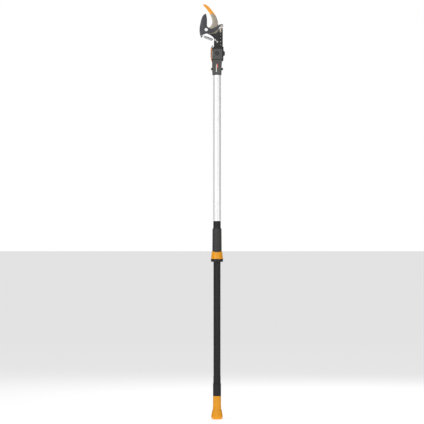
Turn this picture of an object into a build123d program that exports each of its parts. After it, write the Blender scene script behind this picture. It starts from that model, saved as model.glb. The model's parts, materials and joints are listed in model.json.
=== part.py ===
from build123d import *
import math
import os

# Telescopic pole pruner. The pole stands along +Z and the jaw opens towards -X.
# The origin is the centre of the pull knob's end face. The front of the tool faces -Y.
# All sizes are in millimetres.

# ---- overall heights along the pole axis ----
KNOB_TOP = 88.5
FERRULE_TOP = 138.0
BAND_TOP = 164.5
LIP_BOTTOM = 598.0
LIP_TOP = 609.5
FLARE_TOP = 640.0
SLEEVE_TOP = 727.0
MOUTH = 753.5
INNER_TUBE_TOP = 1290.0
HOUSING_BOTTOM = 1308.0
OUTER_TUBE_TOP = 1355.0
CHEEK_TOP = 1415.0

# ---- pole radii ----
INNER_TUBE_R = 13.4
INNER_TUBE_BORE = 12.2
OUTER_TUBE_R = 14.9
OUTER_TUBE_BORE = 14.0
RUNNING_FIT = 0.05

# ---- travel of the slide handle and the pull knob ----
HANDLE_STROKE = 72.0

# ---- pull strap ----
STRAP_WIDTH = 5.0
STRAP_THICKNESS = 0.8
STRAP_Y = 4.3
LOWER_STRAP_Y = -8.9

# ---- tilt joint of the head ----
TILT_X = 0.0
TILT_Z = 1390.0
AXLE_R = 3.5
CAVITY_R = 28.6
HUB_R = 16.5
TOOTH_DEPTH = 1.5
TOOTH_STEP = 15.0

# ---- layers of the head and housing from the middle plane ----
PLATE_IN = 7.5
PLATE_OUT = 10.5
CHEEK_IN = 10.8
CHEEK_OUT = 14.5
BLOCK_OUT = 17.0
BLADE_FRONT = -4.9
BLADE_BACK = -1.7
HOOK_FRONT = -1.5
HOOK_BACK = 2.5
CHAIN_Y = (BLADE_FRONT + BLADE_BACK) / 2

# ---- cutting head points ----
PIVOT_X = -41.0
PIVOT_Z = 1480.5
PIVOT_R = 3.0
ARM_PIN_X = 17.5
ARM_PIN_Z = 1495.5
ARM_PIN_R = 2.0
CHAIN_X = 13.0
CHAIN_TOP_Z = 1473.5
CHAIN_PITCH = 12.7
CHAIN_LINKS = 4
CHAIN_PLATE_R = 4.1
CHAIN_PIN_R = 1.8
ANCHOR_X = 1.1
ANCHOR_Z = 1434.0
TAIL_X = -58.5
TAIL_Z = 1457.5
PLATE_BOLT_X = -6.5
PLATE_BOLT_Z = 1441.5

# ---- strap drum ----
DRUM_STRAP_R = 17.5
DRUM_FLANGE_R = 18.5
SADDLE_X = 6.6
SADDLE_Z = 1338.0
SADDLE_R = 6.2

# ---- lock lever ----
LEVER_PIN_X = -14.8
LEVER_PIN_Z = 1357.6
LEVER_PIN_R = 1.5
LEVER_HALF = 5.5

# ---- bolt across the housing and the pole ----
CROSS_Y = -5.0
CROSS_Z = 1330.5
CROSS_R = 2.5

# ---- expanding lock between the two tubes ----
PLUG_BORE = 7.4
CONE_R = 10.0
RING_LOW = 1293.3
RING_HIGH = 1316.0

# ---- pull knob ----
KNOB_R = 22.0
KNOB_FLAT_R = 14.0
CORE_R = 11.5
CORE_LOW = 9.0
STUB_R = 11.9
STUB_TOP = 118.0
FLUTES = 8
FLUTE_R = 5.0
CAP_R = 6.0
CAP_THICKNESS = 1.0

# ---- housing shells ----
BUSH_R = 5.5
EAR_R = 4.6
LEVER_SLOT_HALF = 5.9
GUARD_X = -18.6
SCREW_R = 1.1
SCREW_HEAD_R = 1.9
SCREW_PLACES = ((-16.6, 1344.0), (16.5, 1358.0), (-16.3, 1317.0))
PANEL = ((-12.0, 1352), (-12.0, 1314), (11.0, 1314), (11.0, 1352))
RIM = ((-15.2, CHEEK_TOP), (-15.2, 1407.5), (24.9, 1407.5), (24.9, CHEEK_TOP))

os.makedirs("parts", exist_ok=True)


def save(name, shape):
    """Write one node."""
    export_step(shape, f"parts/{name}.step")


def group(solids):
    """Join several separate solids as one node."""
    return Compound(children=list(solids))


def rod_z(radius, low, high, x=0.0, y=0.0):
    """A round bar along Z."""
    return Pos(x, y, (low + high) / 2) * Cylinder(radius, high - low)


def ring_z(outer, inner, low, high):
    """A plain tube on the pole axis."""
    return rod_z(outer, low, high) - rod_z(inner, low - 1, high + 1)


def rod_y(radius, front, back, x, z):
    """A round bar along Y."""
    return Pos(x, (front + back) / 2, z) * Rot(90, 0, 0) * Cylinder(radius, back - front)


def rod_x(radius, left, right, y, z):
    """A round bar along X."""
    return Pos((left + right) / 2, y, z) * Rot(0, 90, 0) * Cylinder(radius, right - left)


def block(x0, x1, y0, y1, z0, z1):
    """A box between two corners."""
    return Pos((x0 + x1) / 2, (y0 + y1) / 2, (z0 + z1) / 2) * Box(x1 - x0, y1 - y0, z1 - z0)


def hex_y(across, front, back, x, z):
    """A hexagonal nut blank along Y."""
    return slab(Pos(x, z) * RegularPolygon(across / math.sqrt(3), 6), front, back)


def slab(face, front, back):
    """Extrude a face drawn in X and Z between two depths."""
    return Pos(0, back, 0) * extrude(Plane.XZ * face, back - front, dir=(0, -1, 0))


def outline(points, radius):
    """A polygon in X and Z with every corner rounded alike."""
    shape = Polygon(*points, align=None)
    return fillet(shape.vertices(), radius)


def turned(points):
    """Turn a closed half profile of radius and height about the pole axis."""
    face = Plane.XZ * Polygon(*points, align=None)
    return revolve(face, Axis.Z)


def polar(x, z, radius, degrees):
    """A point on a circle in X and Z."""
    angle = math.radians(degrees)
    return (x + radius * math.cos(angle), z + radius * math.sin(angle))


# =====================================================================
# Lower pole
# =====================================================================
CARRIAGE_LOW = 603.0
CARRIAGE_HIGH = 637.0
SLOT_HALF = 4.2
FERRULE_R = 15.3
TUBE_END = 92.0


def lower_tube():
    """Black inner tube with a slot at the back for the strap carriage."""
    tube = ring_z(INNER_TUBE_R, INNER_TUBE_BORE, TUBE_END, INNER_TUBE_TOP)
    slot = block(-SLOT_HALF, SLOT_HALF, 5, 20, CARRIAGE_LOW - HANDLE_STROKE - 2, CARRIAGE_HIGH + 1)
    return tube - slot


def end_ferrule():
    """Black ferrule that closes the lower end of the tube."""
    body = ring_z(FERRULE_R, INNER_TUBE_R, KNOB_TOP + 0.5, FERRULE_TOP)
    body = chamfer(body.edges().group_by(Axis.Z)[-1].sort_by(SortBy.RADIUS)[-1], 1.4)
    return body + ring_z(INNER_TUBE_R, INNER_TUBE_BORE, KNOB_TOP + 0.5, TUBE_END)


def grip_band(low, high, radius):
    """Thin ribbed band round the tube."""
    body = ring_z(radius, INNER_TUBE_R, low, high)
    groove_count = 7
    step = (high - low) / groove_count
    for index in range(groove_count):
        middle = low + step * (index + 0.5)
        body -= ring_z(radius + 1, radius - 0.25, middle - 0.6, middle + 0.6)
    return body


def lock_plug():
    """Plug in the top of the inner tube that carries the expanding lock ring."""
    stub = rod_z(INNER_TUBE_BORE, INNER_TUBE_TOP - 28, INNER_TUBE_TOP)
    flange = rod_z(INNER_TUBE_R, INNER_TUBE_TOP, RING_LOW - 0.3)
    hub = rod_z(CONE_R, RING_LOW - 0.3, RING_HIGH + 0.3)
    return stub + flange + hub - rod_z(PLUG_BORE, 1200, 1400)


def lock_washer():
    """Washer that keeps the lock ring on its plug."""
    return ring_z(12.5, PLUG_BORE, RING_HIGH + 0.3, RING_HIGH + 2.3)


def lock_ring():
    """Split nylon ring that spreads against the outer tube when the pole is twisted."""
    body = ring_z(OUTER_TUBE_BORE - RUNNING_FIT, CONE_R + RUNNING_FIT, RING_LOW, RING_HIGH)
    return body - block(0, 20, -1, 1, RING_LOW - 1, RING_HIGH + 1)


# =====================================================================
# Pull knob
# =====================================================================

def knob_shell():
    """Orange knob with a flared, softly fluted foot."""
    with BuildPart() as knob:
        with BuildSketch(Plane.XZ):
            with BuildLine():
                low = Line((0, 0), (KNOB_FLAT_R, 0))
                foot = Spline((KNOB_FLAT_R, 0), (19.6, 2.6), (KNOB_R, 10.5), (20.6, 20), (17.2, 36),
                              (FERRULE_R + 0.3, 52), tangents=[(1, 0.05), (-0.05, 1)])
                neck = Line(foot @ 1, (FERRULE_R, KNOB_TOP))
                top = Line(neck @ 1, (0, KNOB_TOP))
                Line(top @ 1, low @ 0)
            make_face()
        revolve(axis=Axis.Z)
    body = knob.part
    for index in range(FLUTES):
        angle = 360 / FLUTES * (index + 0.5)
        flute = Pos(KNOB_R + 3.7, 0, 12) * Rot(0, -8, 0) * Cylinder(FLUTE_R, 40)
        body -= Rot(0, 0, angle) * flute
    body -= rod_z(CORE_R, CORE_LOW, KNOB_TOP + 1)
    body -= rod_z(2.6, -1, CORE_LOW + 1)
    return body - rod_z(CAP_R, -1, 4.5)


def knob_cap():
    """Snap-in disc that hides the knob's screw, flush with the end face."""
    return rod_z(CAP_R, 0, CAP_THICKNESS)


def knob_core():
    """Core of the knob with a stub that enters the tube."""
    body = rod_z(CORE_R, CORE_LOW, KNOB_TOP) + rod_z(STUB_R, KNOB_TOP, STUB_TOP)
    body = chamfer(body.edges().group_by(Axis.Z)[-1], 1.5)
    body -= rod_z(2.0, 0, 32)
    return body - strap_box(LOWER_STRAP_Y, STUB_TOP - 20, STUB_TOP + 1)


def strap_box(y, low, high):
    """A straight length of flat strap along Z."""
    half = STRAP_WIDTH / 2
    return block(-half, half, y - STRAP_THICKNESS / 2, y + STRAP_THICKNESS / 2, low, high)


def knob_screw():
    """Pan head screw up into the core."""
    body = rod_z(5.0, 1.2, 4.5) + rod_z(2.0, 4.5, 32)
    return body - block(-0.6, 0.6, -3, 3, 0, 2.6) - block(-3, 3, -0.6, 0.6, 0, 2.6)


# =====================================================================
# Slide handle
# =====================================================================
SLEEVE_TOP_R = 17.25
SLEEVE_LOW_R = 17.9
LIP_R = 23.0
LINER_R = 14.3
FLARE_SEAT_R = 16.4


def slide_sleeve():
    """Black grip sleeve, seated under the orange flare at its lower end."""
    return turned([
        (LINER_R, LIP_TOP), (FLARE_SEAT_R, LIP_TOP), (FLARE_SEAT_R, FLARE_TOP - 10),
        (SLEEVE_LOW_R, FLARE_TOP - 10), (SLEEVE_TOP_R, SLEEVE_TOP - 5),
        (SLEEVE_TOP_R - 2.2, SLEEVE_TOP), (LINER_R, SLEEVE_TOP),
    ]) - flare_body() - carriage_pocket()


def flare_body():
    """Outer form of the flare; its top edge dips in a U at the front and back."""
    cone = turned([(FLARE_SEAT_R, LIP_TOP), (LIP_R, LIP_TOP), (18.9, FLARE_TOP), (FLARE_SEAT_R, FLARE_TOP)])
    dip_r = 34.0
    return cone - rod_y(dip_r, -30, 30, 0, FLARE_TOP - 5 + dip_r)


def slide_lip():
    """Black bumper ring under the flare."""
    body = ring_z(LIP_R, LINER_R, LIP_BOTTOM, LIP_TOP)
    return fillet(body.edges().group_by(Axis.Z)[0].sort_by(SortBy.RADIUS)[-1], 4.0)


def slide_liner():
    """Two nylon bushes that run on the tube."""
    bore = INNER_TUBE_R + RUNNING_FIT
    return group([ring_z(LINER_R, bore, LIP_BOTTOM + 1, LIP_BOTTOM + 4),
                  ring_z(LINER_R, bore, FLARE_TOP + 6, SLEEVE_TOP - 3)])


CARRIAGE_FOOT = 15.6


def carriage_pocket():
    """Room in the sleeve for the foot of the strap carriage."""
    return block(-4.0, 4.0, 10, CARRIAGE_FOOT, CARRIAGE_LOW, CARRIAGE_HIGH)


def strap_carriage():
    """Block that passes through the slot and grips the strap inside the tube."""
    body = block(-4.0, 4.0, -11, CARRIAGE_FOOT, CARRIAGE_LOW, CARRIAGE_HIGH)
    body = body & rod_z(INNER_TUBE_BORE - 0.4, CARRIAGE_LOW, CARRIAGE_HIGH)
    body += block(-4.0, 4.0, 5, CARRIAGE_FOOT, CARRIAGE_LOW + 8, CARRIAGE_HIGH)
    for height in CARRIAGE_SCREWS:
        body -= rod_y(1.5, -2, 20, 0, height)
    return body - strap_box(LOWER_STRAP_Y, CARRIAGE_HIGH - 16, CARRIAGE_HIGH + 1)


CARRIAGE_SCREWS = (617.0, 630.0)


def carriage_screws():
    """Two screws from the sleeve into the carriage."""
    return group([rod_y(1.5, 0, CARRIAGE_FOOT, 0, height) for height in CARRIAGE_SCREWS])


# =====================================================================
# Upper pole and its mouth
# =====================================================================
def upper_tube():
    """Bright outer tube with a cross hole for the housing bolt."""
    body = ring_z(OUTER_TUBE_R, OUTER_TUBE_BORE, MOUTH, OUTER_TUBE_TOP)
    return body - rod_x(CROSS_R, -30, 30, CROSS_Y, CROSS_Z)


def mouth_bush():
    """Bush in the mouth of the outer tube; its ribbed neck shows below the tube."""
    bore = INNER_TUBE_R + RUNNING_FIT
    neck = ring_z(14.3, bore, SLEEVE_TOP + 0.3, MOUTH)
    for index in range(5):
        middle = SLEEVE_TOP + 5 + index * 4.6
        neck -= ring_z(16, 14.05, middle - 0.6, middle + 0.6)
    return neck + ring_z(OUTER_TUBE_BORE, bore, MOUTH, MOUTH + 20)


# =====================================================================
# Tilt housing on top of the upper pole
# =====================================================================

def housing_face():
    """Front view of the housing with its cheeks."""
    return outline([
        (-15.2, CHEEK_TOP), (-15.2, 1387), (-18.4, 1381), (-18.6, 1340), (-17.6, HOUSING_BOTTOM),
        (17.0, HOUSING_BOTTOM), (17.6, 1345), (19.0, 1360), (24.3, 1363), (24.3, 1380),
        (29.8, 1383.5), (29.8, 1396.5), (24.9, 1400.5), (24.9, CHEEK_TOP),
    ], 1.6)


def housing_body():
    """Housing before it is split into a front and a back shell."""
    face = housing_face()
    cheeks = slab(face, -CHEEK_OUT, CHEEK_OUT)
    lower_face = face & (Pos(0, 1300) * Rectangle(80, 2 * (1368 - 1300)))
    lower = slab(lower_face, -BLOCK_OUT, BLOCK_OUT)
    lower = fillet(lower.edges().filter_by(Axis.X).group_by(Axis.Z)[0], 4.0)
    lower = chamfer(lower.edges().filter_by(Axis.X).group_by(Axis.Z)[-1], 2.2)
    body = cheeks + lower
    for side in (-1, 1):
        ear_end = side * 22.0
        body += rod_x(EAR_R, min(ear_end, side * 10), max(ear_end, side * 10), CROSS_Y, CROSS_Z)
    cavity = rod_y(CAVITY_R, -CHEEK_IN, CHEEK_IN, TILT_X, TILT_Z)
    cavity += block(-40, 40, -CHEEK_IN, CHEEK_IN, TILT_Z - 22.8, CHEEK_TOP + 10)
    body -= cavity
    body -= rod_z(OUTER_TUBE_R + 0.02, HOUSING_BOTTOM - 5, OUTER_TUBE_TOP)
    body -= rod_y(BUSH_R, -30, 30, TILT_X, TILT_Z)
    body -= rod_x(CROSS_R, -30, 30, CROSS_Y, CROSS_Z)
    body -= rod_x(4.2, -30, -20.0, CROSS_Y, CROSS_Z)
    body -= rod_x(4.2, 20.0, 30, CROSS_Y, CROSS_Z)
    body -= block(-4, 19.5, STRAP_Y - 3.4, STRAP_Y + 3.4, 1334, TILT_Z)
    body -= block(-30, -10.6, -LEVER_SLOT_HALF, LEVER_SLOT_HALF, OUTER_TUBE_TOP - 1.5, TILT_Z)
    body -= rod_y(LEVER_PIN_R, -LEVER_SLOT_HALF - 7, LEVER_SLOT_HALF + 7, LEVER_PIN_X, LEVER_PIN_Z)
    for x, z in SCREW_PLACES:
        body -= rod_y(SCREW_R, -8, 30, x, z)
        body -= rod_y(SCREW_HEAD_R, 12.5, 30, x, z)
    return body


def housing_front():
    """Front shell with a raised panel."""
    half = housing_body() & block(-60, 60, -40, 0, 1200, 1500)
    panel = slab(outline(PANEL, 4.0), -BLOCK_OUT - 0.8, -BLOCK_OUT + 0.5)
    panel -= rod_z(OUTER_TUBE_R + 0.02, HOUSING_BOTTOM - 5, OUTER_TUBE_TOP)
    rim = slab(outline(RIM, 1.4), -CHEEK_OUT - 1.2, -CHEEK_OUT + 0.5)
    return half + panel + rim


def housing_back():
    """Back shell with its own rim and a guard beside the lever."""
    half = housing_body() & block(-60, 60, 0, 40, 1200, 1500)
    rim = slab(outline(RIM, 1.4), CHEEK_OUT - 0.5, CHEEK_OUT + 1.2)
    guard = slab(outline([(GUARD_X, 1376), (GUARD_X, 1412), (-13, 1412), (-13, 1376)], 1.2), CHEEK_IN, CHEEK_OUT)
    return half + rim + guard


def housing_screws():
    """Screws that close the two shells from the back."""
    screws = []
    for x, z in SCREW_PLACES:
        screw = rod_y(SCREW_R, -7, 12.5, x, z) + rod_y(SCREW_HEAD_R - 0.2, 12.5, 14.6, x, z)
        screws.append(screw - rod_y(0.8, 13.6, 16, x, z))
    return group(screws)


def cross_bolt():
    """Bolt that pins the housing to the tube."""
    body = rod_x(CROSS_R, -20, 23.5, CROSS_Y, CROSS_Z) + rod_x(4.0, -23.2, -20, CROSS_Y, CROSS_Z)
    socket = Pos(-23.2, CROSS_Y, CROSS_Z) * Rot(0, 90, 0) * extrude(RegularPolygon(1.8, 6), 2.0)
    return body - socket


def cross_nut():
    """Nut of the cross bolt."""
    blank = Pos(20.0, CROSS_Y, CROSS_Z) * Rot(0, 90, 0) * extrude(RegularPolygon(4.1, 6), 3.0)
    return blank - rod_x(CROSS_R, 15, 30, CROSS_Y, CROSS_Z)


def tilt_axle():
    """Axle of the tilt joint with a domed head at the front."""
    body = rod_y(AXLE_R, -CHEEK_OUT - 0.8, CHEEK_OUT + 2.6, TILT_X, TILT_Z)
    head = rod_y(6.4, -CHEEK_OUT - 3.0, -CHEEK_OUT - 0.8, TILT_X, TILT_Z)
    head = chamfer(head.edges().group_by(Axis.Y)[0], 0.9)
    return body + head


def axle_nut():
    """Lock nut at the back end of the axle."""
    nut = hex_y(11.0, CHEEK_OUT + 0.8, CHEEK_OUT + 4.6, TILT_X, TILT_Z)
    return nut - rod_y(AXLE_R, 0, CHEEK_OUT + 2.6, TILT_X, TILT_Z)


def axle_bushes():
    """Flanged bushes of the axle in the two cheeks."""
    bushes = []
    for side in (-1, 1):
        inner = side * CHEEK_IN
        outer = side * CHEEK_OUT
        lip = side * (CHEEK_OUT + 0.8)
        bush = rod_y(BUSH_R, min(inner, outer), max(inner, outer), TILT_X, TILT_Z)
        bush += rod_y(BUSH_R + 2.2, min(outer, lip), max(outer, lip), TILT_X, TILT_Z)
        bushes.append(bush - rod_y(AXLE_R, -30, 30, TILT_X, TILT_Z))
    return group(bushes)


def strap_saddle():
    """Rounded guide that turns the strap towards the drum."""
    guide_r = SADDLE_R - STRAP_THICKNESS / 2 - 0.05
    body = rod_y(guide_r, STRAP_Y - 3.4, STRAP_Y + 3.4, SADDLE_X, SADDLE_Z)
    return body & block(0, 40, -20, 20, 1334, 1344) & rod_z(OUTER_TUBE_BORE, 1330, 1350)


def tangent_run():
    """Ends of the straight strap run between the saddle and the drum."""
    dx = TILT_X - SADDLE_X
    dz = TILT_Z - SADDLE_Z
    distance = math.hypot(dx, dz)
    centre_angle = math.degrees(math.atan2(dz, dx))
    lean = math.degrees(math.asin((SADDLE_R + DRUM_STRAP_R) / distance))
    heading = centre_angle - lean
    start = polar(SADDLE_X, SADDLE_Z, SADDLE_R, heading + 90)
    end = polar(TILT_X, TILT_Z, DRUM_STRAP_R, heading - 90)
    short = 7.0
    return start, polar(end[0], end[1], short, heading + 180), heading


def strap_upper():
    """Strap inside the upper pole, over the saddle and up to the drum."""
    start, end, heading = tangent_run()
    side = STRAP_THICKNESS / 2
    nx = side * math.cos(math.radians(heading + 90))
    nz = side * math.sin(math.radians(heading + 90))
    mid_angle = (180 + heading + 90) / 2
    straight = block(-side + 0.4, side + 0.4, STRAP_Y - 2.5, STRAP_Y + 2.5, 740, SADDLE_Z)
    arc = [polar(SADDLE_X, SADDLE_Z, SADDLE_R + offset, angle)
           for offset, angle in ((side, 180), (side, mid_angle), (side, heading + 90),
                                 (-side, heading + 90), (-side, mid_angle), (-side, 180))]
    bend = make_face(Curve() + [ThreePointArc(arc[0], arc[1], arc[2]), Line(arc[2], arc[3]),
                                ThreePointArc(arc[3], arc[4], arc[5]), Line(arc[5], arc[0])])
    run = Polygon((start[0] + nx, start[1] + nz), (end[0] + nx, end[1] + nz),
                  (end[0] - nx, end[1] - nz), (start[0] - nx, start[1] - nz), align=None)
    half = STRAP_WIDTH / 2
    return straight + slab(bend, STRAP_Y - half, STRAP_Y + half) + slab(run, STRAP_Y - half, STRAP_Y + half)


# =====================================================================
# Lock lever
# =====================================================================
def lock_lever():
    """Orange thumb lever on the left of the tilt joint."""
    body = slab(outline([(-18.2, 1355.4), (-12.2, 1355.4), (-12.2, 1360), (-19.4, 1371), (-19.4, 1408),
                         (-17.4, 1411), (-22.6, 1411), (-24.2, 1403), (-24.2, 1378), (-22.4, 1366)], 0.9),
                -LEVER_HALF, LEVER_HALF)
    body -= rod_y(LEVER_PIN_R + RUNNING_FIT, -20, 20, LEVER_PIN_X, LEVER_PIN_Z)
    return body - rod_y(1.6, -20, 20, -21.4, TILT_Z)


def lever_tip():
    """Black thumb tip of the lever."""
    return slab(outline([(-22.6, 1411), (-17.4, 1411), (-15.6, 1421), (-17.4, 1421.6)], 0.7),
                -LEVER_HALF, LEVER_HALF)


def lock_bar():
    """Steel cross bar of the lever, facing the toothed hubs."""
    return rod_y(1.6, -PLATE_OUT, PLATE_OUT, -21.4, TILT_Z)


def lever_pin():
    """Hinge pin of the lever."""
    return rod_y(LEVER_PIN_R, -LEVER_SLOT_HALF - 7, LEVER_SLOT_HALF + 7, LEVER_PIN_X, LEVER_PIN_Z)


# =====================================================================
# Head
# =====================================================================
def toothed_hub(front, back):
    """Round lower end of a side plate with locking notches."""
    body = rod_y(HUB_R, front, back, TILT_X, TILT_Z)
    for index in range(int(360 / TOOTH_STEP)):
        x, z = polar(TILT_X, TILT_Z, HUB_R + 0.6, index * TOOTH_STEP)
        body -= rod_y(TOOTH_DEPTH, front - 1, back + 1, x, z)
    return body


NECK = ((-11.8, TILT_Z), (-11.8, 1433.5), (-11.4, 1447), (-15.2, 1452.7), (-22.8, 1458.4), (-26.6, 1463),
        (-24, 1465.6), (-3.8, 1465.7), (3.8, 1471.7), (8.7, 1479.3), (9.6, 1486), (22, 1486), (22, 1400),
        (14, TILT_Z))
PLATE_HOLES = ((PLATE_BOLT_X, PLATE_BOLT_Z, 2.0), (ANCHOR_X, ANCHOR_Z, 2.0))


def front_plate():
    """Front side plate with a slot that shows the chain and three cast ribs."""
    front, back = -PLATE_OUT, -PLATE_IN
    body = slab(outline(NECK, 0.7), front, back) + toothed_hub(front, back)
    body -= slab(outline([(9.6, 1419), (16.3, 1419), (16.3, 1500), (9.6, 1500)], 0.6), front - 1, back + 1)
    for index in range(3):
        z = 1424.5 + index * 5.2
        rib = Pos(-8.5 + index * 1.0, z) * Rot(0, 0, 32) * Rectangle(6.5, 1.3)
        body += slab(rib, front - 0.9, front + 0.3)
    for x, z, radius in PLATE_HOLES:
        body -= rod_y(radius, front - 2, back + 1, x, z)
    return body - rod_y(AXLE_R + RUNNING_FIT, -20, 20, TILT_X, TILT_Z)


def back_plate():
    """Back side plate that reaches to the jaw pivot."""
    front, back = PLATE_IN, PLATE_OUT
    reach = outline([(PIVOT_X - 7, PIVOT_Z + 5), (PIVOT_X - 7, PIVOT_Z - 8), (-24, 1459), (-5, 1452),
                     (-5, 1466), (PIVOT_X + 7, PIVOT_Z + 6)], 3.0)
    body = slab(outline(NECK, 0.7), front, back) + toothed_hub(front, back) + slab(reach, front, back)
    for x, z, radius in PLATE_HOLES:
        body -= rod_y(radius, front - 1, back + 1, x, z)
    body -= rod_y(PIVOT_R, front - 1, back + 1, PIVOT_X, PIVOT_Z)
    return body - rod_y(AXLE_R + RUNNING_FIT, -20, 20, TILT_X, TILT_Z)


def hook_plate():
    """Curved steel hook with its base between the side plates."""
    edge = Curve() + [
        Spline((-46.6, 1577), (-33.6, 1569.6), (-19, 1553.4), (-7.6, 1538.2), (0, 1523), (3.8, 1502)),
        Spline((3.8, 1502), (7.6, 1489), (8.4, 1478), (7.6, 1469), (4.0, 1455)),
        Polyline((4.0, 1455), (4.0, 1429.5), (-11.0, 1429.5), (-11.0, 1447), (-20, 1457), (-36, 1468)),
        ThreePointArc((-36, 1468), (-53.0, 1479), (-40, 1491)),
        Spline((-40, 1491), (-29.3, 1489.6), (-20.1, 1500.2), (-17.5, 1511), (-20.5, 1525), (-31, 1547.0),
               (-51.6, 1572.6)),
        ThreePointArc((-51.6, 1572.6), (-50.6, 1577.0), (-46.6, 1577)),
    ]
    body = slab(make_face(edge), HOOK_FRONT, HOOK_BACK)
    for x, z, radius in PLATE_HOLES:
        body -= rod_y(radius, -20, 20, x, z)
    return body - rod_y(PIVOT_R, -20, 20, PIVOT_X, PIVOT_Z)


def plate_spacers():
    """Spacer rings between the side plates and the hook plate."""
    rings = []
    for x, z, radius in PLATE_HOLES:
        for front, back in ((-PLATE_IN, HOOK_FRONT), (HOOK_BACK, PLATE_IN)):
            rings.append(rod_y(radius + 1.4, front, back, x, z) - rod_y(radius, -20, 20, x, z))
    rings.append(rod_y(6.5, HOOK_BACK, PLATE_IN, PIVOT_X, PIVOT_Z) - rod_y(PIVOT_R, -20, 20, PIVOT_X, PIVOT_Z))
    return group(rings)


def plate_rivet():
    """Rivet that ties the side plates to the hook plate."""
    heads = rod_y(3.2, -PLATE_OUT - 1.2, -PLATE_OUT, PLATE_BOLT_X, PLATE_BOLT_Z)
    heads += rod_y(3.2, PLATE_OUT, PLATE_OUT + 1.2, PLATE_BOLT_X, PLATE_BOLT_Z)
    return heads + rod_y(2.0, -PLATE_OUT, PLATE_OUT, PLATE_BOLT_X, PLATE_BOLT_Z)


def spring_anchor():
    """Screw through both plates that holds the end of the return spring."""
    body = rod_y(2.0, -PLATE_OUT - 3.0, PLATE_OUT, ANCHOR_X, ANCHOR_Z)
    body += rod_y(3.4, -PLATE_OUT - 4.2, -PLATE_OUT - 3.0, ANCHOR_X, ANCHOR_Z)
    return body + rod_y(3.2, PLATE_OUT, PLATE_OUT + 1.2, ANCHOR_X, ANCHOR_Z)


def pivot_bolt():
    """Bolt on which the blade turns."""
    head = rod_y(6.6, BLADE_FRONT - 3.0, BLADE_FRONT - 0.2, PIVOT_X, PIVOT_Z)
    head = chamfer(head.edges().group_by(Axis.Y)[0], 0.9)
    return head + rod_y(PIVOT_R, BLADE_FRONT - 0.2, PLATE_OUT + 4, PIVOT_X, PIVOT_Z)


def pivot_nut():
    """Lock nut of the pivot bolt."""
    nut = hex_y(10.0, PLATE_OUT, PLATE_OUT + 4, PIVOT_X, PIVOT_Z)
    return nut - rod_y(PIVOT_R, 0, 30, PIVOT_X, PIVOT_Z)


SPRING_Y = -8.4
SPRING_R = 4.9
SPRING_FROM = (-50.0, 1453.8)
SPRING_TO = (-17.0, 1440.9)


def return_spring():
    """Return spring as a plain sleeve with its end wire to the anchor."""
    x0, z0 = SPRING_FROM
    x1, z1 = SPRING_TO
    coil = Plane(origin=(x0, SPRING_Y, z0), z_dir=(x1 - x0, 0, z1 - z0))
    length = math.hypot(x1 - x0, z1 - z0)
    body = extrude(coil * Circle(SPRING_R), length) - extrude(coil * Circle(SPRING_R - 1.5), length)
    start = Vector(x1, -12.2, z1)
    wire = Vector(ANCHOR_X - 3.0, -12.2, ANCHOR_Z + 2.2) - start
    return body + extrude(Plane(origin=start, z_dir=wire) * Circle(0.7), wire.length)


# =====================================================================
# Blade and its drive chain
# =====================================================================
def blade():
    """Blade, pivot boss, tail and arm cut from one plate, with a ground cutting edge."""
    edge = Curve() + [
        Spline((-43.4, 1541.2), (-52.5, 1534.6), (-61.5, 1512), (-66.3, 1482), (-65, 1464), (-60.8, 1451.6)),
        ThreePointArc((-60.8, 1451.6), (-58.2, 1449.7), (-56.0, 1451.8)),
        Spline((-56.0, 1451.8), (-52.4, 1461), (-38, 1465.4), (-24.7, 1467.2), (-7.6, 1474.4), (5.0, 1485),
               (12.0, 1491.5)),
        ThreePointArc((12.0, 1491.5), (22.4, 1492), (19.5, 1501.6)),
        Spline((19.5, 1501.6), (13.3, 1501.4), (0, 1493.2), (-15.2, 1485.8), (-26, 1485.4), (-35.7, 1491.5),
               (-38, 1502)),
        Spline((-38, 1502), (-37.8, 1515), (-38.9, 1528.7), (-42.2, 1540.6)),
        Line((-42.2, 1540.6), (-43.4, 1541.2)),
    ]
    body = slab(make_face(edge), BLADE_FRONT, BLADE_BACK)
    body -= rod_y(PIVOT_R + 1.5, -20, 20, PIVOT_X, PIVOT_Z)
    body -= rod_y(ARM_PIN_R + RUNNING_FIT, -20, 20, ARM_PIN_X, ARM_PIN_Z)
    return body - rod_y(1.6, -20, 20, TAIL_X, TAIL_Z)


def blade_bush():
    """Bronze bush of the blade."""
    body = rod_y(PIVOT_R + 1.5, BLADE_FRONT, BLADE_BACK, PIVOT_X, PIVOT_Z)
    return body - rod_y(PIVOT_R + RUNNING_FIT, -20, 20, PIVOT_X, PIVOT_Z)


def chain_places():
    """Pin places of the chain from its top pin down."""
    return [(CHAIN_X, CHAIN_TOP_Z - CHAIN_PITCH * index) for index in range(CHAIN_LINKS + 1)]


def link_plate(a, b, near, far, holes):
    """A pair of waisted link plates between two pins, on both sides of the chain."""
    length = math.hypot(b[0] - a[0], b[1] - a[1])
    angle = math.degrees(math.atan2(b[1] - a[1], b[0] - a[0]))
    face = Circle(CHAIN_PLATE_R) + Pos(length, 0) * Circle(CHAIN_PLATE_R)
    face += Pos(length / 2, 0) * Rectangle(length, CHAIN_PLATE_R * 1.5)
    face = Pos(a[0], a[1]) * Rot(0, 0, angle) * face
    plates = []
    for low, high in ((CHAIN_Y - far, CHAIN_Y - near), (CHAIN_Y + near, CHAIN_Y + far)):
        plate = slab(face, low, high)
        for (x, z), radius in zip((a, b), holes):
            plate -= rod_y(radius, -30, 30, x, z)
        plates.append(plate)
    return plates


def chain_end_link():
    """Steel end link from the arm to the chain."""
    pins = (ARM_PIN_R, CHAIN_PIN_R)
    return group(link_plate((ARM_PIN_X, ARM_PIN_Z), chain_places()[0], 2.4, 3.4, pins))


def chain_plates(first, near, far):
    """Every second link of the chain."""
    places = chain_places()
    pins = (CHAIN_PIN_R, CHAIN_PIN_R)
    plates = []
    for index in range(first, CHAIN_LINKS, 2):
        plates += link_plate(places[index], places[index + 1], near, far, pins)
    return group(plates)


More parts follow.
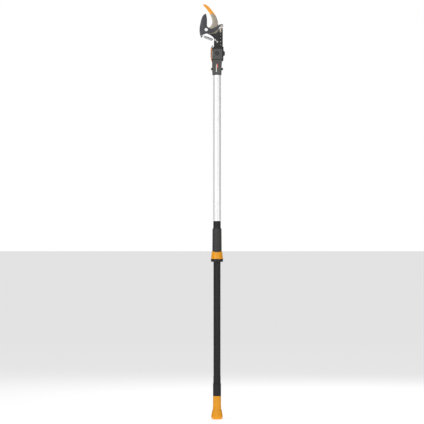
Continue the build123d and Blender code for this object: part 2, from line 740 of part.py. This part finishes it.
def chain_pins():
    """Pins of the chain."""
    return group([rod_y(CHAIN_PIN_R, CHAIN_Y - 3.7, CHAIN_Y + 3.7, x, z) for x, z in chain_places()])


def chain_rollers():
    """Rollers of the chain."""
    rollers = []
    for x, z in chain_places():
        roller = rod_y(3.0, CHAIN_Y - 1.2, CHAIN_Y + 1.2, x, z)
        rollers.append(roller - rod_y(CHAIN_PIN_R, -30, 30, x, z))
    return group(rollers)


def arm_pin():
    """Headed pin that joins the end link to the blade arm."""
    body = rod_y(ARM_PIN_R, CHAIN_Y - 3.4, CHAIN_Y + 3.7, ARM_PIN_X, ARM_PIN_Z)
    return body + rod_y(3.0, CHAIN_Y - 4.0, CHAIN_Y - 3.4, ARM_PIN_X, ARM_PIN_Z)


# =====================================================================
# Strap drum on the tilt axle
# =====================================================================
DRUM_BORE = AXLE_R + RUNNING_FIT


def strap_drum():
    """Drum with a strap seat between two flanges and a slim spool for the chain."""
    body = rod_y(5.0, -7.2, 0.9, TILT_X, TILT_Z)
    body += rod_y(DRUM_FLANGE_R, 0.9, 1.7, TILT_X, TILT_Z)
    body += rod_y(DRUM_STRAP_R - 1.2, 1.7, 6.9, TILT_X, TILT_Z)
    body += rod_y(DRUM_FLANGE_R, 6.9, 7.3, TILT_X, TILT_Z)
    return body - rod_y(DRUM_BORE, -30, 30, TILT_X, TILT_Z)


def drum_strap():
    """Turns of strap wound on the drum."""
    outer = rod_y(DRUM_STRAP_R + 0.4, STRAP_Y - 2.5, STRAP_Y + 2.5, TILT_X, TILT_Z)
    return outer - rod_y(DRUM_STRAP_R - 1.2, -30, 30, TILT_X, TILT_Z)


# =====================================================================
# Write every node
# =====================================================================
save("lower_tube", lower_tube())
save("end_ferrule", end_ferrule())
save("lower_band", grip_band(FERRULE_TOP, BAND_TOP, 14.0))
save("lock_plug", lock_plug())
save("lock_washer", lock_washer())
save("lock_ring", lock_ring())

save("knob_shell", knob_shell())
save("knob_core", knob_core())
save("knob_screw", knob_screw())
save("knob_cap", knob_cap())
save("knob_strap", strap_box(LOWER_STRAP_Y, STUB_TOP - 20, CARRIAGE_LOW - 0.3))

save("slide_sleeve", slide_sleeve())
save("slide_flare", flare_body())
save("slide_lip", slide_lip())
save("slide_bushes", slide_liner())
save("strap_carriage", strap_carriage())
save("carriage_screws", carriage_screws())
save("lower_strap", strap_box(LOWER_STRAP_Y, CARRIAGE_HIGH - 16, 1255))

save("upper_tube", upper_tube())
save("mouth_bush", mouth_bush())
save("housing_front", housing_front())
save("housing_back", housing_back())
save("housing_screws", housing_screws())
save("cross_bolt", cross_bolt())
save("cross_nut", cross_nut())
save("tilt_axle", tilt_axle())
save("axle_nut", axle_nut())
save("axle_bushes", axle_bushes())
save("strap_saddle", strap_saddle())
save("upper_strap", strap_upper())
save("lever_pin", lever_pin())

save("lock_lever", lock_lever())
save("lever_tip", lever_tip())
save("lock_bar", lock_bar())

save("front_plate", front_plate())
save("back_plate", back_plate())
save("hook_plate", hook_plate())
save("plate_spacers", plate_spacers())
save("plate_rivet", plate_rivet())
save("spring_anchor", spring_anchor())
save("pivot_bolt", pivot_bolt())
save("pivot_nut", pivot_nut())
save("return_spring", return_spring())

save("blade", blade())
save("blade_bush", blade_bush())
save("chain_end_link", chain_end_link())
save("chain_inner_plates", chain_plates(0, 1.3, 2.2))
save("chain_outer_plates", chain_plates(1, 2.4, 3.3))
save("chain_pins", chain_pins())
save("chain_rollers", chain_rollers())
save("arm_pin", arm_pin())
save("strap_drum", strap_drum())
save("drum_strap", drum_strap())
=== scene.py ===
"""Telescopic pole pruner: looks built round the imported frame. Metres, pole along +Z, front faces -Y."""
import json
import math

import bmesh
import bpy
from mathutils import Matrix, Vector


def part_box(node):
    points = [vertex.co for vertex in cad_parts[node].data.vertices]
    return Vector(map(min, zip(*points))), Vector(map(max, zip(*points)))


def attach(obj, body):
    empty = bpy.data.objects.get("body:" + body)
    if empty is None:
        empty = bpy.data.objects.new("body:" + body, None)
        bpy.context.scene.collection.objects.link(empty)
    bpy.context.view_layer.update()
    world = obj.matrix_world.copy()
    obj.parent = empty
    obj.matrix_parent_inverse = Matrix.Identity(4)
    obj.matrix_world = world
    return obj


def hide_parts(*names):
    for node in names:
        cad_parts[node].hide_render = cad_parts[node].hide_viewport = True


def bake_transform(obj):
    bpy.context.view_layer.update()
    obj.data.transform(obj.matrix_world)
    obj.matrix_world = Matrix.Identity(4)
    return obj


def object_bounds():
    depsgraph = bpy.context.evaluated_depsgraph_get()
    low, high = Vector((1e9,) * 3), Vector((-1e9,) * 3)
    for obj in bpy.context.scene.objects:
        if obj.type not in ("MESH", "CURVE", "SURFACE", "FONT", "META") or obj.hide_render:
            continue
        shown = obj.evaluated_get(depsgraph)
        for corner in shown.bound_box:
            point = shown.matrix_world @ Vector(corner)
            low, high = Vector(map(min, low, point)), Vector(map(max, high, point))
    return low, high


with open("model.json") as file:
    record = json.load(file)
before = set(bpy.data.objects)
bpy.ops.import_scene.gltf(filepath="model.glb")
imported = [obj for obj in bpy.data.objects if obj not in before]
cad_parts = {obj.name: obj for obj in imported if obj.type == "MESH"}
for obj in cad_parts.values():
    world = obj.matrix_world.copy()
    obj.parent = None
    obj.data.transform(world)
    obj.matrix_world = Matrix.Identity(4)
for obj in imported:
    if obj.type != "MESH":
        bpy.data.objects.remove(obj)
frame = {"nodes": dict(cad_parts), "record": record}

CAD_LOW, CAD_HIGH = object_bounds()
MM = 0.001


# ---------------------------------------------------------------- places from the frame
def span(node):
    """Lowest corner, highest corner and middle of a CAD node."""
    low, high = (Vector(corner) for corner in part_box(node))
    return low, high, (low + high) / 2


# ---------------------------------------------------------------- materials
class Nodes:
    """A small helper that builds one node material."""

    def __init__(self, name):
        self.material = bpy.data.materials.new(name)
        self.material.use_nodes = True
        self.tree = self.material.node_tree
        self.shader = self.tree.nodes["Principled BSDF"]
        self.place = self.add("ShaderNodeTexCoord").outputs["Object"]

    def add(self, kind, **values):
        node = self.tree.nodes.new(kind)
        for key, value in values.items():
            setattr(node, key, value)
        return node

    def link(self, output, socket):
        self.tree.links.new(output, socket)

    def noise(self, scale, detail=4.0, rough=0.55, stretch=(1, 1, 1)):
        """A noise value over the object's own place, stretched along an axis if asked."""
        mapping = self.add("ShaderNodeMapping")
        mapping.inputs["Scale"].default_value = stretch
        self.link(self.place, mapping.inputs["Vector"])
        noise = self.add("ShaderNodeTexNoise")
        noise.inputs["Scale"].default_value = scale
        noise.inputs["Detail"].default_value = detail
        noise.inputs["Roughness"].default_value = rough
        self.link(mapping.outputs["Vector"], noise.inputs["Vector"])
        return noise.outputs["Fac"]

    def ramp(self, value, *stops):
        """A colour ramp with (position, colour) stops."""
        ramp = self.add("ShaderNodeValToRGB")
        elements = ramp.color_ramp.elements
        while len(elements) < len(stops):
            elements.new(0.5)
        for element, (position, colour) in zip(elements, stops):
            element.position = position
            element.color = (*colour, 1.0)
        self.link(value, ramp.inputs["Fac"])
        return ramp.outputs["Color"]

    def scale_to(self, value, low, high):
        """Map 0..1 to low..high."""
        mapped = self.add("ShaderNodeMapRange")
        mapped.inputs["To Min"].default_value = low
        mapped.inputs["To Max"].default_value = high
        self.link(value, mapped.inputs["Value"])
        return mapped.outputs["Result"]

    def math(self, operation, a, b):
        """A maths node on two sockets or numbers."""
        node = self.add("ShaderNodeMath", operation=operation)
        for socket, value in zip(node.inputs, (a, b)):
            if isinstance(value, (int, float)):
                socket.default_value = value
            else:
                self.link(value, socket)
        return node.outputs["Value"]

    def mix(self, factor, a, b):
        """Mix two colours, each a socket or three numbers."""
        node = self.add("ShaderNodeMix", data_type="RGBA")
        self.link(factor, node.inputs["Factor"])
        for socket, value in ((node.inputs[6], a), (node.inputs[7], b)):
            if isinstance(value, tuple):
                socket.default_value = (*value, 1.0)
            else:
                self.link(value, socket)
        return node.outputs[2]

    def edge_wear(self, radius, low=0.03, high=0.3):
        """0 on flats and 1 on edges, from how far a bevelled normal leans from the true one."""
        bevel = self.add("ShaderNodeBevel", samples=4)
        bevel.inputs["Radius"].default_value = radius
        geometry = self.add("ShaderNodeNewGeometry")
        dot = self.add("ShaderNodeVectorMath", operation="DOT_PRODUCT")
        self.link(bevel.outputs["Normal"], dot.inputs[0])
        self.link(geometry.outputs["Normal"], dot.inputs[1])
        turned = self.math("SUBTRACT", 1.0, dot.outputs["Value"])
        mapped = self.add("ShaderNodeMapRange")
        mapped.inputs["From Min"].default_value = low
        mapped.inputs["From Max"].default_value = high
        self.link(turned, mapped.inputs["Value"])
        return mapped.outputs["Result"]

    def relief(self, height, strength, distance, edge=0.4 * MM):
        """Bump from a height, over softly rounded edges."""
        bevel = self.add("ShaderNodeBevel", samples=4)
        bevel.inputs["Radius"].default_value = edge
        bump = self.add("ShaderNodeBump")
        bump.inputs["Strength"].default_value = strength
        bump.inputs["Distance"].default_value = distance
        self.link(height, bump.inputs["Height"])
        self.link(bevel.outputs["Normal"], bump.inputs["Normal"])
        self.link(bump.outputs["Normal"], self.shader.inputs["Normal"])

    def set(self, **values):
        """Uniform values on the shader's own sockets."""
        for key, value in values.items():
            self.shader.inputs[key.replace("_", " ")].default_value = value


def axis_part(nodes, axis):
    """One coordinate of the object's own place."""
    split = nodes.add("ShaderNodeSeparateXYZ")
    nodes.link(nodes.place, split.inputs["Vector"])
    return split.outputs[axis]


def plastic(name, colour, rough=0.45, grain=900.0, depth=0.05, edge=0.5 * MM, spread=0.12):
    """Moulded plastic: spark-eroded grain, faint colour drift and lighter rubbed edges."""
    n = Nodes(name)
    drift = n.noise(18.0)
    dark = tuple(c * (1 - spread) for c in colour)
    light = tuple(min(1.0, c * (1 + spread)) for c in colour)
    base = n.ramp(drift, (0.3, dark), (0.7, light))
    rubbed = tuple(min(1.0, c * 1.35 + 0.02) for c in colour)
    wear = n.math("MULTIPLY", n.edge_wear(0.7 * MM), n.scale_to(n.noise(140.0), 0.15, 0.75))
    n.link(n.mix(wear, base, rubbed), n.shader.inputs["Base Color"])
    grainy = n.noise(grain, 2.0)
    n.link(n.scale_to(n.noise(60.0), rough - 0.07, rough + 0.09), n.shader.inputs["Roughness"])
    n.relief(grainy, 0.35, depth * MM, edge)
    n.set(Specular_IOR_Level=0.35)
    return n


def soft_grip(name, colour):
    """Soft-touch rubber with fine lengthwise flow lines."""
    n = Nodes(name)
    lines = n.noise(60.0, 3.0, 0.6, (9, 9, 0.5))
    grain = n.noise(1600.0, 2.0)
    base = n.ramp(n.noise(30.0), (0.3, tuple(c * 0.85 for c in colour)), (0.7, tuple(c * 1.2 for c in colour)))
    n.link(base, n.shader.inputs["Base Color"])
    n.link(n.scale_to(lines, 0.42, 0.6), n.shader.inputs["Roughness"])
    n.relief(n.math("ADD", lines, grain), 0.25, 0.05 * MM)
    n.set(Specular_IOR_Level=0.35)
    return n


def metal(name, colour, rough, brush=(1, 1, 1), scale=120.0, dirt=0.12, edge=0.3 * MM, bump=0.15):
    """Metal with a directional finish, tarnish patches and brighter edges."""
    n = Nodes(name)
    n.set(Metallic=1.0)
    streak = n.noise(scale, 6.0, 0.6, brush)
    patch = n.noise(22.0, 5.0)
    base = n.ramp(patch, (0.25, tuple(c * (1 - dirt) for c in colour)), (0.75, colour))
    bright = tuple(min(1.0, c * 1.25 + 0.04) for c in colour)
    n.link(n.mix(n.edge_wear(0.5 * MM), base, bright), n.shader.inputs["Base Color"])
    n.link(n.scale_to(streak, rough - 0.08, rough + 0.12), n.shader.inputs["Roughness"])
    n.relief(streak, bump, 0.02 * MM, edge)
    return n


def coated(name, colour, rough, flake=700.0, wear_colour=(0.32, 0.31, 0.31), wear_most=0.55, metallic=0.0):
    """Dark coated metal: fine orange peel, scuffs and bare metal showing at the edges."""
    n = Nodes(name)
    n.set(Metallic=metallic, Coat_Weight=0.04, Coat_Roughness=0.35, Specular_IOR_Level=0.4)
    scuff = n.noise(45.0, 8.0, 0.7, (1.0, 1.0, 0.4))
    base = n.ramp(scuff, (0.35, tuple(c * 0.85 for c in colour)), (0.72, tuple(c * 1.3 for c in colour)))
    wear = n.math("MULTIPLY", n.edge_wear(0.4 * MM, 0.05, 0.5), n.scale_to(n.noise(260.0, 5.0), -0.2, wear_most))
    wear = n.math("MAXIMUM", wear, 0.0)
    n.link(n.mix(wear, base, wear_colour), n.shader.inputs["Base Color"])
    n.link(n.scale_to(scuff, rough - 0.06, rough + 0.12), n.shader.inputs["Roughness"])
    n.relief(n.noise(flake, 3.0), 0.2, 0.03 * MM, 0.35 * MM)
    return n


def webbing(name, colour):
    """Woven strap."""
    n = Nodes(name)
    wave = n.add("ShaderNodeTexWave", wave_type="BANDS", bands_direction="Z")
    wave.inputs["Scale"].default_value = 300.0
    n.link(n.place, wave.inputs["Vector"])
    base = n.ramp(wave.outputs["Fac"], (0.2, tuple(c * 0.7 for c in colour)), (0.8, tuple(c * 1.5 for c in colour)))
    n.link(base, n.shader.inputs["Base Color"])
    n.set(Roughness=0.8)
    n.relief(wave.outputs["Fac"], 0.5, 0.15 * MM)
    return n


TIP_ORANGE = (0.84, 0.35, 0.010)
DIP_INNER = Vector((-26.0, 0, 1536.0)) * MM
DIP_OUTER = Vector((-3.5, 0, 1530.0)) * MM
NOTCH = Vector((-17.5, 0, 1544.5)) * MM


def beyond(n, a, b):
    """Above 0 where the place lies past the line from a to b in X and Z."""
    normal = Vector((-(b.z - a.z), 0, b.x - a.x)).normalized()
    dot = n.add("ShaderNodeVectorMath", operation="DOT_PRODUCT")
    n.link(n.place, dot.inputs[0])
    dot.inputs[1].default_value = normal
    return n.math("SUBTRACT", dot.outputs["Value"], normal.dot(a))


def hook_finish():
    """Warm plated steel with an orange dipped tip that ends in a V."""
    n = Nodes("hook_plated_steel")
    grind = n.noise(160.0, 6.0, 0.6, (1.0, 4.0, 5.0))
    patch = n.noise(35.0, 4.0)
    steel = n.ramp(patch, (0.25, (0.27, 0.24, 0.19)), (0.8, (0.38, 0.34, 0.275)))
    bright = (0.72, 0.70, 0.66)
    steel = n.mix(n.math("MULTIPLY", n.edge_wear(0.6 * MM, 0.02, 0.35), 0.5), steel, bright)
    left = beyond(n, DIP_INNER, NOTCH)
    right = beyond(n, NOTCH, DIP_OUTER)
    dipped = n.math("MAXIMUM", left, right)
    ragged = n.math("MULTIPLY", n.math("SUBTRACT", n.noise(300.0, 3.0), 0.5), 0.6 * MM)
    mask = n.math("GREATER_THAN", n.math("ADD", dipped, ragged), 0.0)
    orange = n.ramp(n.noise(50.0), (0.3, (0.76, 0.29, 0.008)), (0.7, TIP_ORANGE))
    n.link(n.mix(mask, steel, orange), n.shader.inputs["Base Color"])
    n.link(n.scale_to(mask, 0.45, 0.0), n.shader.inputs["Metallic"])
    n.link(n.scale_to(grind, 0.40, 0.58), n.shader.inputs["Roughness"])
    n.relief(n.math("ADD", grind, n.math("MULTIPLY", mask, 2.0)), 0.3, 0.06 * MM, 1.0 * MM)
    return n


def tube_finish(name, colour, rough, metallic):
    """Drawn tube: long fine draw lines along the pole and a few faint handling marks."""
    n = Nodes(name)
    n.set(Metallic=metallic, Coat_Weight=0.03, Coat_Roughness=0.25, Specular_IOR_Level=0.35)
    lines = n.noise(500.0, 4.0, 0.6, (1.0, 1.0, 0.01))
    marks = n.noise(14.0, 7.0, 0.7, (1.0, 1.0, 0.3))
    base = n.ramp(marks, (0.30, tuple(c * 0.93 for c in colour)), (0.65, colour))
    n.link(base, n.shader.inputs["Base Color"])
    n.link(n.scale_to(lines, rough - 0.05, rough + 0.08), n.shader.inputs["Roughness"])
    n.relief(lines, 0.10, 0.015 * MM, 0.2 * MM)
    return n


FACE_LEFT = -16.4 * MM
FACE_RIGHT = 19.4 * MM
FACE_TOP = 1407.0 * MM


def grey_face_painted_shade_flanks(name, face, side):
    """Grey front face with flanks darkened to near-black by the way they face: painted shade, split softly where
    the surface turns away from the front.
    """
    n = plastic(name, face, 0.46)
    turned = n.add("ShaderNodeSeparateXYZ")
    n.link(n.add("ShaderNodeTexCoord").outputs["Normal"], turned.inputs["Vector"])
    facing = n.math("ABSOLUTE", turned.outputs["Y"], 0.0)
    front = n.add("ShaderNodeMapRange")
    front.inputs["From Min"].default_value = 0.55
    front.inputs["From Max"].default_value = 0.97
    n.link(n.math("ADD", facing, n.scale_to(n.noise(120.0), -0.04, 0.04)), front.inputs["Value"])
    across = axis_part(n, "X")
    inside = n.math("MULTIPLY", n.math("LESS_THAN", across, FACE_RIGHT), n.math("GREATER_THAN", across, FACE_LEFT))
    inside = n.math("MULTIPLY", inside, n.math("LESS_THAN", axis_part(n, "Z"), FACE_TOP))
    # painted shade: the face colour stays only where the surface faces front or back inside the panel, elsewhere it
    # blends to the near-black flank colour
    pale = n.math("MULTIPLY", front.outputs["Result"], inside)
    current = n.shader.inputs["Base Color"].links[0].from_socket
    n.link(n.mix(pale, side, current), n.shader.inputs["Base Color"])
    return n


MATERIALS = {
    "black_tube": tube_finish("black_tube_coat", (0.006, 0.006, 0.007), 0.44, 0.0),
    "silver_tube": tube_finish("silver_anodised", (0.90, 0.90, 0.905), 0.36, 0.45),
    "black_plastic": plastic("black_moulding", (0.010, 0.010, 0.010), 0.50),
    # grey housing face; its flanks get painted shade in near-black
    "grey_plastic": grey_face_painted_shade_flanks("grey_moulding_shaded_flanks", (0.072, 0.071, 0.070), (0.010, 0.010, 0.011)),
    "soft_black": soft_grip("soft_black_grip", (0.034, 0.034, 0.033)),
    "orange": plastic("orange_moulding", (0.84, 0.345, 0.010), 0.36, 1200.0, 0.03, spread=0.08),
    "blade_coat": coated("blade_coating", (0.046, 0.044, 0.052), 0.40, wear_colour=(0.20, 0.195, 0.19)),
    "side_plate": coated("side_plate_coating", (0.010, 0.0098, 0.0115), 0.48, wear_most=0.3),
    "hook_steel": hook_finish(),
    "steel": metal("zinc_plated_steel", (0.70, 0.70, 0.71), 0.30),
    "chain_black": coated("oiled_chain", (0.009, 0.009, 0.008), 0.38, wear_colour=(0.12, 0.11, 0.10)),
    "chain_pin": metal("chain_pin_steel", (0.62, 0.56, 0.49), 0.28),
    "spring_steel": metal("spring_wire", (0.62, 0.62, 0.63), 0.26, (1, 1, 1), 300.0),
    "bronze": metal("bearing_bronze", (0.60, 0.40, 0.18), 0.35),
    "strap": webbing("strap_webbing", (0.03, 0.03, 0.032)),
    "nylon": plastic("natural_nylon", (0.55, 0.53, 0.47), 0.4, 600.0),
}
SLOT_OF = {part["node"]: part["material_slot"] for part in frame["record"]["subparts"]}
FINISH = {
    # lock_lever: the orange moulding darkened to brown-orange, a painted shade copy of the orange plastic
    "lock_lever": plastic("lever_orange_painted_shade", (0.50, 0.15, 0.006), 0.42, 1200.0, 0.03),
    "chain_end_link": metal("end_link_steel", (0.66, 0.60, 0.52), 0.34),
    "arm_pin": metal("arm_pin_steel", (0.66, 0.60, 0.52), 0.30),
    "tilt_axle": coated("axle_coating", (0.030, 0.029, 0.029), 0.42, wear_colour=(0.16, 0.15, 0.15)),
    "axle_nut": coated("axle_nut_coating", (0.030, 0.029, 0.029), 0.42, wear_colour=(0.16, 0.15, 0.15)),
    "axle_bushes": plastic("axle_bush_moulding", (0.016, 0.016, 0.016), 0.5),
    "pivot_bolt": metal("pivot_bolt_zinc", (0.86, 0.86, 0.88), 0.42),
    "lock_bar": coated("lock_bar_coating", (0.020, 0.020, 0.020), 0.42),
}


def dress_frame():
    """Give each CAD node its finished material."""
    for name, obj in frame["nodes"].items():
        material = FINISH.get(name, MATERIALS[SLOT_OF[name]]).material
        for index in range(len(obj.material_slots)):
            obj.material_slots[index].material = material


# ---------------------------------------------------------------- mesh pieces
def piece(name, mesh_or_bm, body, slot, material=None):
    """Add a mesh piece that rides on a body."""
    if isinstance(mesh_or_bm, bmesh.types.BMesh):
        mesh = bpy.data.meshes.new(name)
        bmesh.ops.recalc_face_normals(mesh_or_bm, faces=mesh_or_bm.faces)
        mesh_or_bm.to_mesh(mesh)
        mesh_or_bm.free()
    else:
        mesh = mesh_or_bm
    obj = bpy.data.objects.new(name, mesh)
    bpy.context.scene.collection.objects.link(obj)
    mesh.materials.append((material or MATERIALS[slot]).material)
    for polygon in mesh.polygons:
        polygon.use_smooth = True
    if body:
        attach(obj, body)
    return obj


def bridge(bm, rings):
    """Faces between each pair of neighbouring rings."""
    count = len(rings[0])
    for a, b in zip(rings, rings[1:]):
        for k in range(count):
            bm.faces.new((a[k], a[(k + 1) % count], b[(k + 1) % count], b[k]))


def swept(points, radius, sides=10):
    """A round wire along a list of points, as a bmesh."""
    bm = bmesh.new()
    rings = []
    up = Vector((0.13, 0.97, 0.21)).normalized()
    for index, point in enumerate(points):
        before = points[max(index - 1, 0)]
        after = points[min(index + 1, len(points) - 1)]
        tangent = (after - before).normalized()
        side = tangent.cross(up).normalized()
        up = side.cross(tangent).normalized()
        ring = []
        for k in range(sides):
            angle = 2 * math.pi * k / sides
            ring.append(bm.verts.new(point + (side * math.cos(angle) + up * math.sin(angle)) * radius))
        rings.append(ring)
    bridge(bm, rings)
    bm.faces.new(rings[0][::-1])
    bm.faces.new(rings[-1])
    return bm


# Round holes whose edges stay sharp: centre in X and Z, and a radius just past the hole.
BEVEL_SKIP = {
    "blade": ((Vector((-0.041, 1.4805)), 0.0049), (Vector((0.0175, 1.4955)), 0.0024),
              (Vector((-0.0585, 1.4575)), 0.0019)),
    "hook_plate": ((Vector((-0.041, 1.4805)), 0.0034), (Vector((-0.0065, 1.4415)), 0.0024),
                   (Vector((0.0011, 1.434)), 0.0024)),
}


def bevelled(node, body, slot, width, angle=50):
    """Stand-in for a flat CAD part with its sharp outline edges eased."""
    source = frame["nodes"][node]
    bm = bmesh.new()
    bm.from_mesh(source.data)
    bm.transform(source.matrix_world)
    bmesh.ops.remove_doubles(bm, verts=bm.verts, dist=1e-6)
    bmesh.ops.dissolve_limit(bm, angle_limit=math.radians(0.4), verts=bm.verts, edges=bm.edges)
    sharp = [edge for edge in bm.edges if len(edge.link_faces) == 2
             and edge.calc_face_angle(0) > math.radians(angle)
             and min(face.calc_area() for face in edge.link_faces) > 0]
    outer = [edge for edge in sharp if all((vert.co.xz - hole).length > size for vert in edge.verts
                                           for hole, size in BEVEL_SKIP[node])]
    bmesh.ops.bevel(bm, geom=outer, offset=width, segments=2, profile=0.6, affect="EDGES", clamp_overlap=True)
    bmesh.ops.triangulate(bm, faces=bm.faces)
    obj = piece(node + "_eased", bm, body, slot)
    obj.data.set_sharp_from_angle(angle=math.radians(24))
    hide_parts(node)
    return obj


SPRING_TURNS = 19
WIRE_R = 0.78 * MM
COIL_R = 4.1 * MM
LOOP_Y = -12.1 * MM
LOOP_R = 2.75 * MM
STEPS_PER_TURN = 18
SPRING_START = Vector((-50.0, -8.4, 1453.8)) * MM
SPRING_END = Vector((-17.0, -8.4, 1440.9)) * MM
BLADE_TAIL = Vector((-58.5, -3.3, 1457.5)) * MM


def return_spring():
    """Close-wound return spring with a hook in the blade's tail and a loop on the anchor."""
    start = SPRING_START
    end = SPRING_END
    along = end - start
    axis = along.normalized()
    across = Vector((0, -1, 0))
    third = axis.cross(across)
    tail = BLADE_TAIL
    anchor = span("spring_anchor")[2]
    points = [tail + Vector((-0.6, 3.2, -0.4)) * MM, tail, tail + Vector((1.2, -4.0, -0.6)) * MM,
              start + axis * -3.0 * MM + across * 1.5 * MM]
    steps = SPRING_TURNS * STEPS_PER_TURN
    for index in range(steps + 1):
        share = index / steps
        angle = 2 * math.pi * SPRING_TURNS * share
        radius = COIL_R * min(1.0, 0.35 + share * 26, 0.35 + (1 - share) * 26)
        points.append(start + along * share + (across * math.cos(angle) + third * math.sin(angle)) * radius)
    anchor_point = Vector((anchor.x, LOOP_Y, anchor.z))
    points.append(end + axis * 3.0 * MM + across * 3.0 * MM)
    for index in range(13):
        angle = math.radians(110 + 300 * index / 12)
        points.append(anchor_point + Vector((math.cos(angle), 0, math.sin(angle))) * LOOP_R)
    bm = swept(points, WIRE_R, 10)
    obj = piece("return_spring_wire", bm, None, "spring_steel")
    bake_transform(obj)
    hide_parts("return_spring")
    return obj


def rounded_bar(x0, x1, z0, z1, y_front, y_back, radius, steps=6):
    """A flat bar with round corners, front face towards -Y, with a small chamfer."""
    bm = bmesh.new()
    corners = ((x1 - radius, z1 - radius, 0), (x0 + radius, z1 - radius, 90),
               (x0 + radius, z0 + radius, 180), (x1 - radius, z0 + radius, 270))
    rings = []
    for inset, y in ((0.0, y_back), (0.0, y_front + 0.12 * MM), (0.12 * MM, y_front)):
        ring = []
        for cx, cz, turn in corners:
            for k in range(steps + 1):
                angle = math.radians(turn + 90 * k / steps)
                r = radius - inset
                ring.append(bm.verts.new((cx + r * math.cos(angle), y, cz + r * math.sin(angle))))
        rings.append(ring)
    bridge(bm, rings)
    bm.faces.new(rings[0])
    bm.faces.new(rings[-1][::-1])
    return bm


def mouth_ring():
    """Bright turned ring with rolled edges round the mouth of the upper tube."""
    profile = ((14.90, 754.3), (15.15, 754.0), (15.38, 754.5), (15.45, 755.4), (15.45, 759.4), (15.38, 760.3),
               (15.15, 760.8), (14.90, 760.5))
    sides = 96
    bm = bmesh.new()
    rings = [[bm.verts.new((r * MM * math.cos(2 * math.pi * k / sides), r * MM * math.sin(2 * math.pi * k / sides),
                            z * MM)) for k in range(sides)] for r, z in profile]
    bridge(bm, rings + [rings[0]])
    pale = tube_finish("mouth_ring_finish", (0.93, 0.93, 0.93), 0.35, 0.1)
    piece("mouth_ring", bm, "upper_pole", "silver_tube", pale)


PANEL_Y = -17.8 * MM
BAR_PROUD = 0.3 * MM
BAR_SUNK = 0.2 * MM


def label_bars():
    """Two plain inlaid bars on the housing's front panel."""
    white = plastic("label_white", (0.72, 0.72, 0.70), 0.4)
    red = plastic("label_red", (0.62, 0.10, 0.03), 0.4)
    depth = (PANEL_Y - BAR_PROUD, PANEL_Y + BAR_SUNK)
    pale = rounded_bar(-3.6 * MM, -0.9 * MM, 1319 * MM, 1349.5 * MM, *depth, 0.8 * MM)
    warm = rounded_bar(0.4 * MM, 3.6 * MM, 1334 * MM, 1350.5 * MM, *depth, 0.9 * MM)
    piece("label_bar_pale", pale, "upper_pole", "grey_plastic", white)
    piece("label_bar_warm", warm, "upper_pole", "grey_plastic", red)


# ---------------------------------------------------------------- studio
FRAME_HEIGHT = 1.6112
LOOK_AT = Vector((-0.019, 0.0, 0.7877))
CAMERA_DISTANCE = 14.0
LIGHTS = (
    ("key", (-1.9, -3.6, 2.3), 1.8, 88),
    ("fill", (2.4, -3.4, 1.0), 2.2, 24),
    ("rim", (0.8, 2.4, 2.4), 1.4, 30),
)
SURROUND = ((0.0, 0.24), (0.25, 0.20), (0.5, 0.12), (1.0, 0.30))


def studio():
    """Pale floor, soft light and the camera in front of the tool."""
    bm = bmesh.new()
    bmesh.ops.create_grid(bm, x_segments=2, y_segments=2, size=60.0)
    mesh = bpy.data.meshes.new("floor")
    bm.to_mesh(mesh)
    bm.free()
    floor = bpy.data.objects.new("floor", mesh)
    bpy.context.scene.collection.objects.link(floor)
    floor.location.z = CAD_LOW.z - 0.5 * MM
    paint = Nodes("floor_paint")
    paint.set(Base_Color=(0.72, 0.72, 0.72, 1), Roughness=0.9, Emission_Color=(1, 1, 1, 1), Emission_Strength=0.62)
    mesh.materials.append(paint.material)

    world = bpy.data.worlds.new("studio")
    bpy.context.scene.world = world
    world.use_nodes = True
    tree = world.node_tree
    background = tree.nodes["Background"]
    coordinates = tree.nodes.new("ShaderNodeTexCoord")
    split = tree.nodes.new("ShaderNodeSeparateXYZ")
    tree.links.new(coordinates.outputs["Generated"], split.inputs["Vector"])
    ramp = tree.nodes.new("ShaderNodeValToRGB")
    shade = tree.nodes.new("ShaderNodeMapRange")
    shade.inputs["From Min"].default_value = -1.0
    tree.links.new(split.outputs["Y"], shade.inputs["Value"])
    tree.links.new(shade.outputs["Result"], ramp.inputs["Fac"])
    while len(ramp.color_ramp.elements) < len(SURROUND):
        ramp.color_ramp.elements.new(0.5)
    for element, (position, value) in zip(ramp.color_ramp.elements, SURROUND):
        element.position = position
        element.color = (value, value, value, 1)
    path = tree.nodes.new("ShaderNodeLightPath")
    mix = tree.nodes.new("ShaderNodeMix")
    mix.data_type = "RGBA"
    tree.links.new(path.outputs["Is Camera Ray"], mix.inputs["Factor"])
    tree.links.new(ramp.outputs["Color"], mix.inputs[6])
    mix.inputs[7].default_value = (1, 1, 1, 1)
    tree.links.new(mix.outputs[2], background.inputs["Color"])

    for name, place, size, energy in LIGHTS:
        light = bpy.data.lights.new(name, "AREA")
        light.size = size
        light.energy = energy
        lamp = bpy.data.objects.new(name, light)
        bpy.context.scene.collection.objects.link(lamp)
        lamp.location = place
        lamp.rotation_euler = (LOOK_AT - Vector(place)).to_track_quat("-Z", "Y").to_euler()

    camera = bpy.data.cameras.new("camera")
    camera.sensor_width = 36.0
    camera.lens = camera.sensor_width * CAMERA_DISTANCE / FRAME_HEIGHT
    camera.clip_start = 0.1
    camera.clip_end = 200.0
    holder = bpy.data.objects.new("camera", camera)
    bpy.context.scene.collection.objects.link(holder)
    holder.location = LOOK_AT + Vector((0, -CAMERA_DISTANCE, 0))
    holder.rotation_euler = (math.radians(90), 0, 0)
    bpy.context.scene.camera = holder
    bpy.context.scene.view_settings.view_transform = "Standard"


studio()
dress_frame()
return_spring()
bevelled("blade", "blade", "blade_coat", 0.7 * MM)
bevelled("hook_plate", "head", "hook_steel", 0.7 * MM)
mouth_ring()
label_bars()
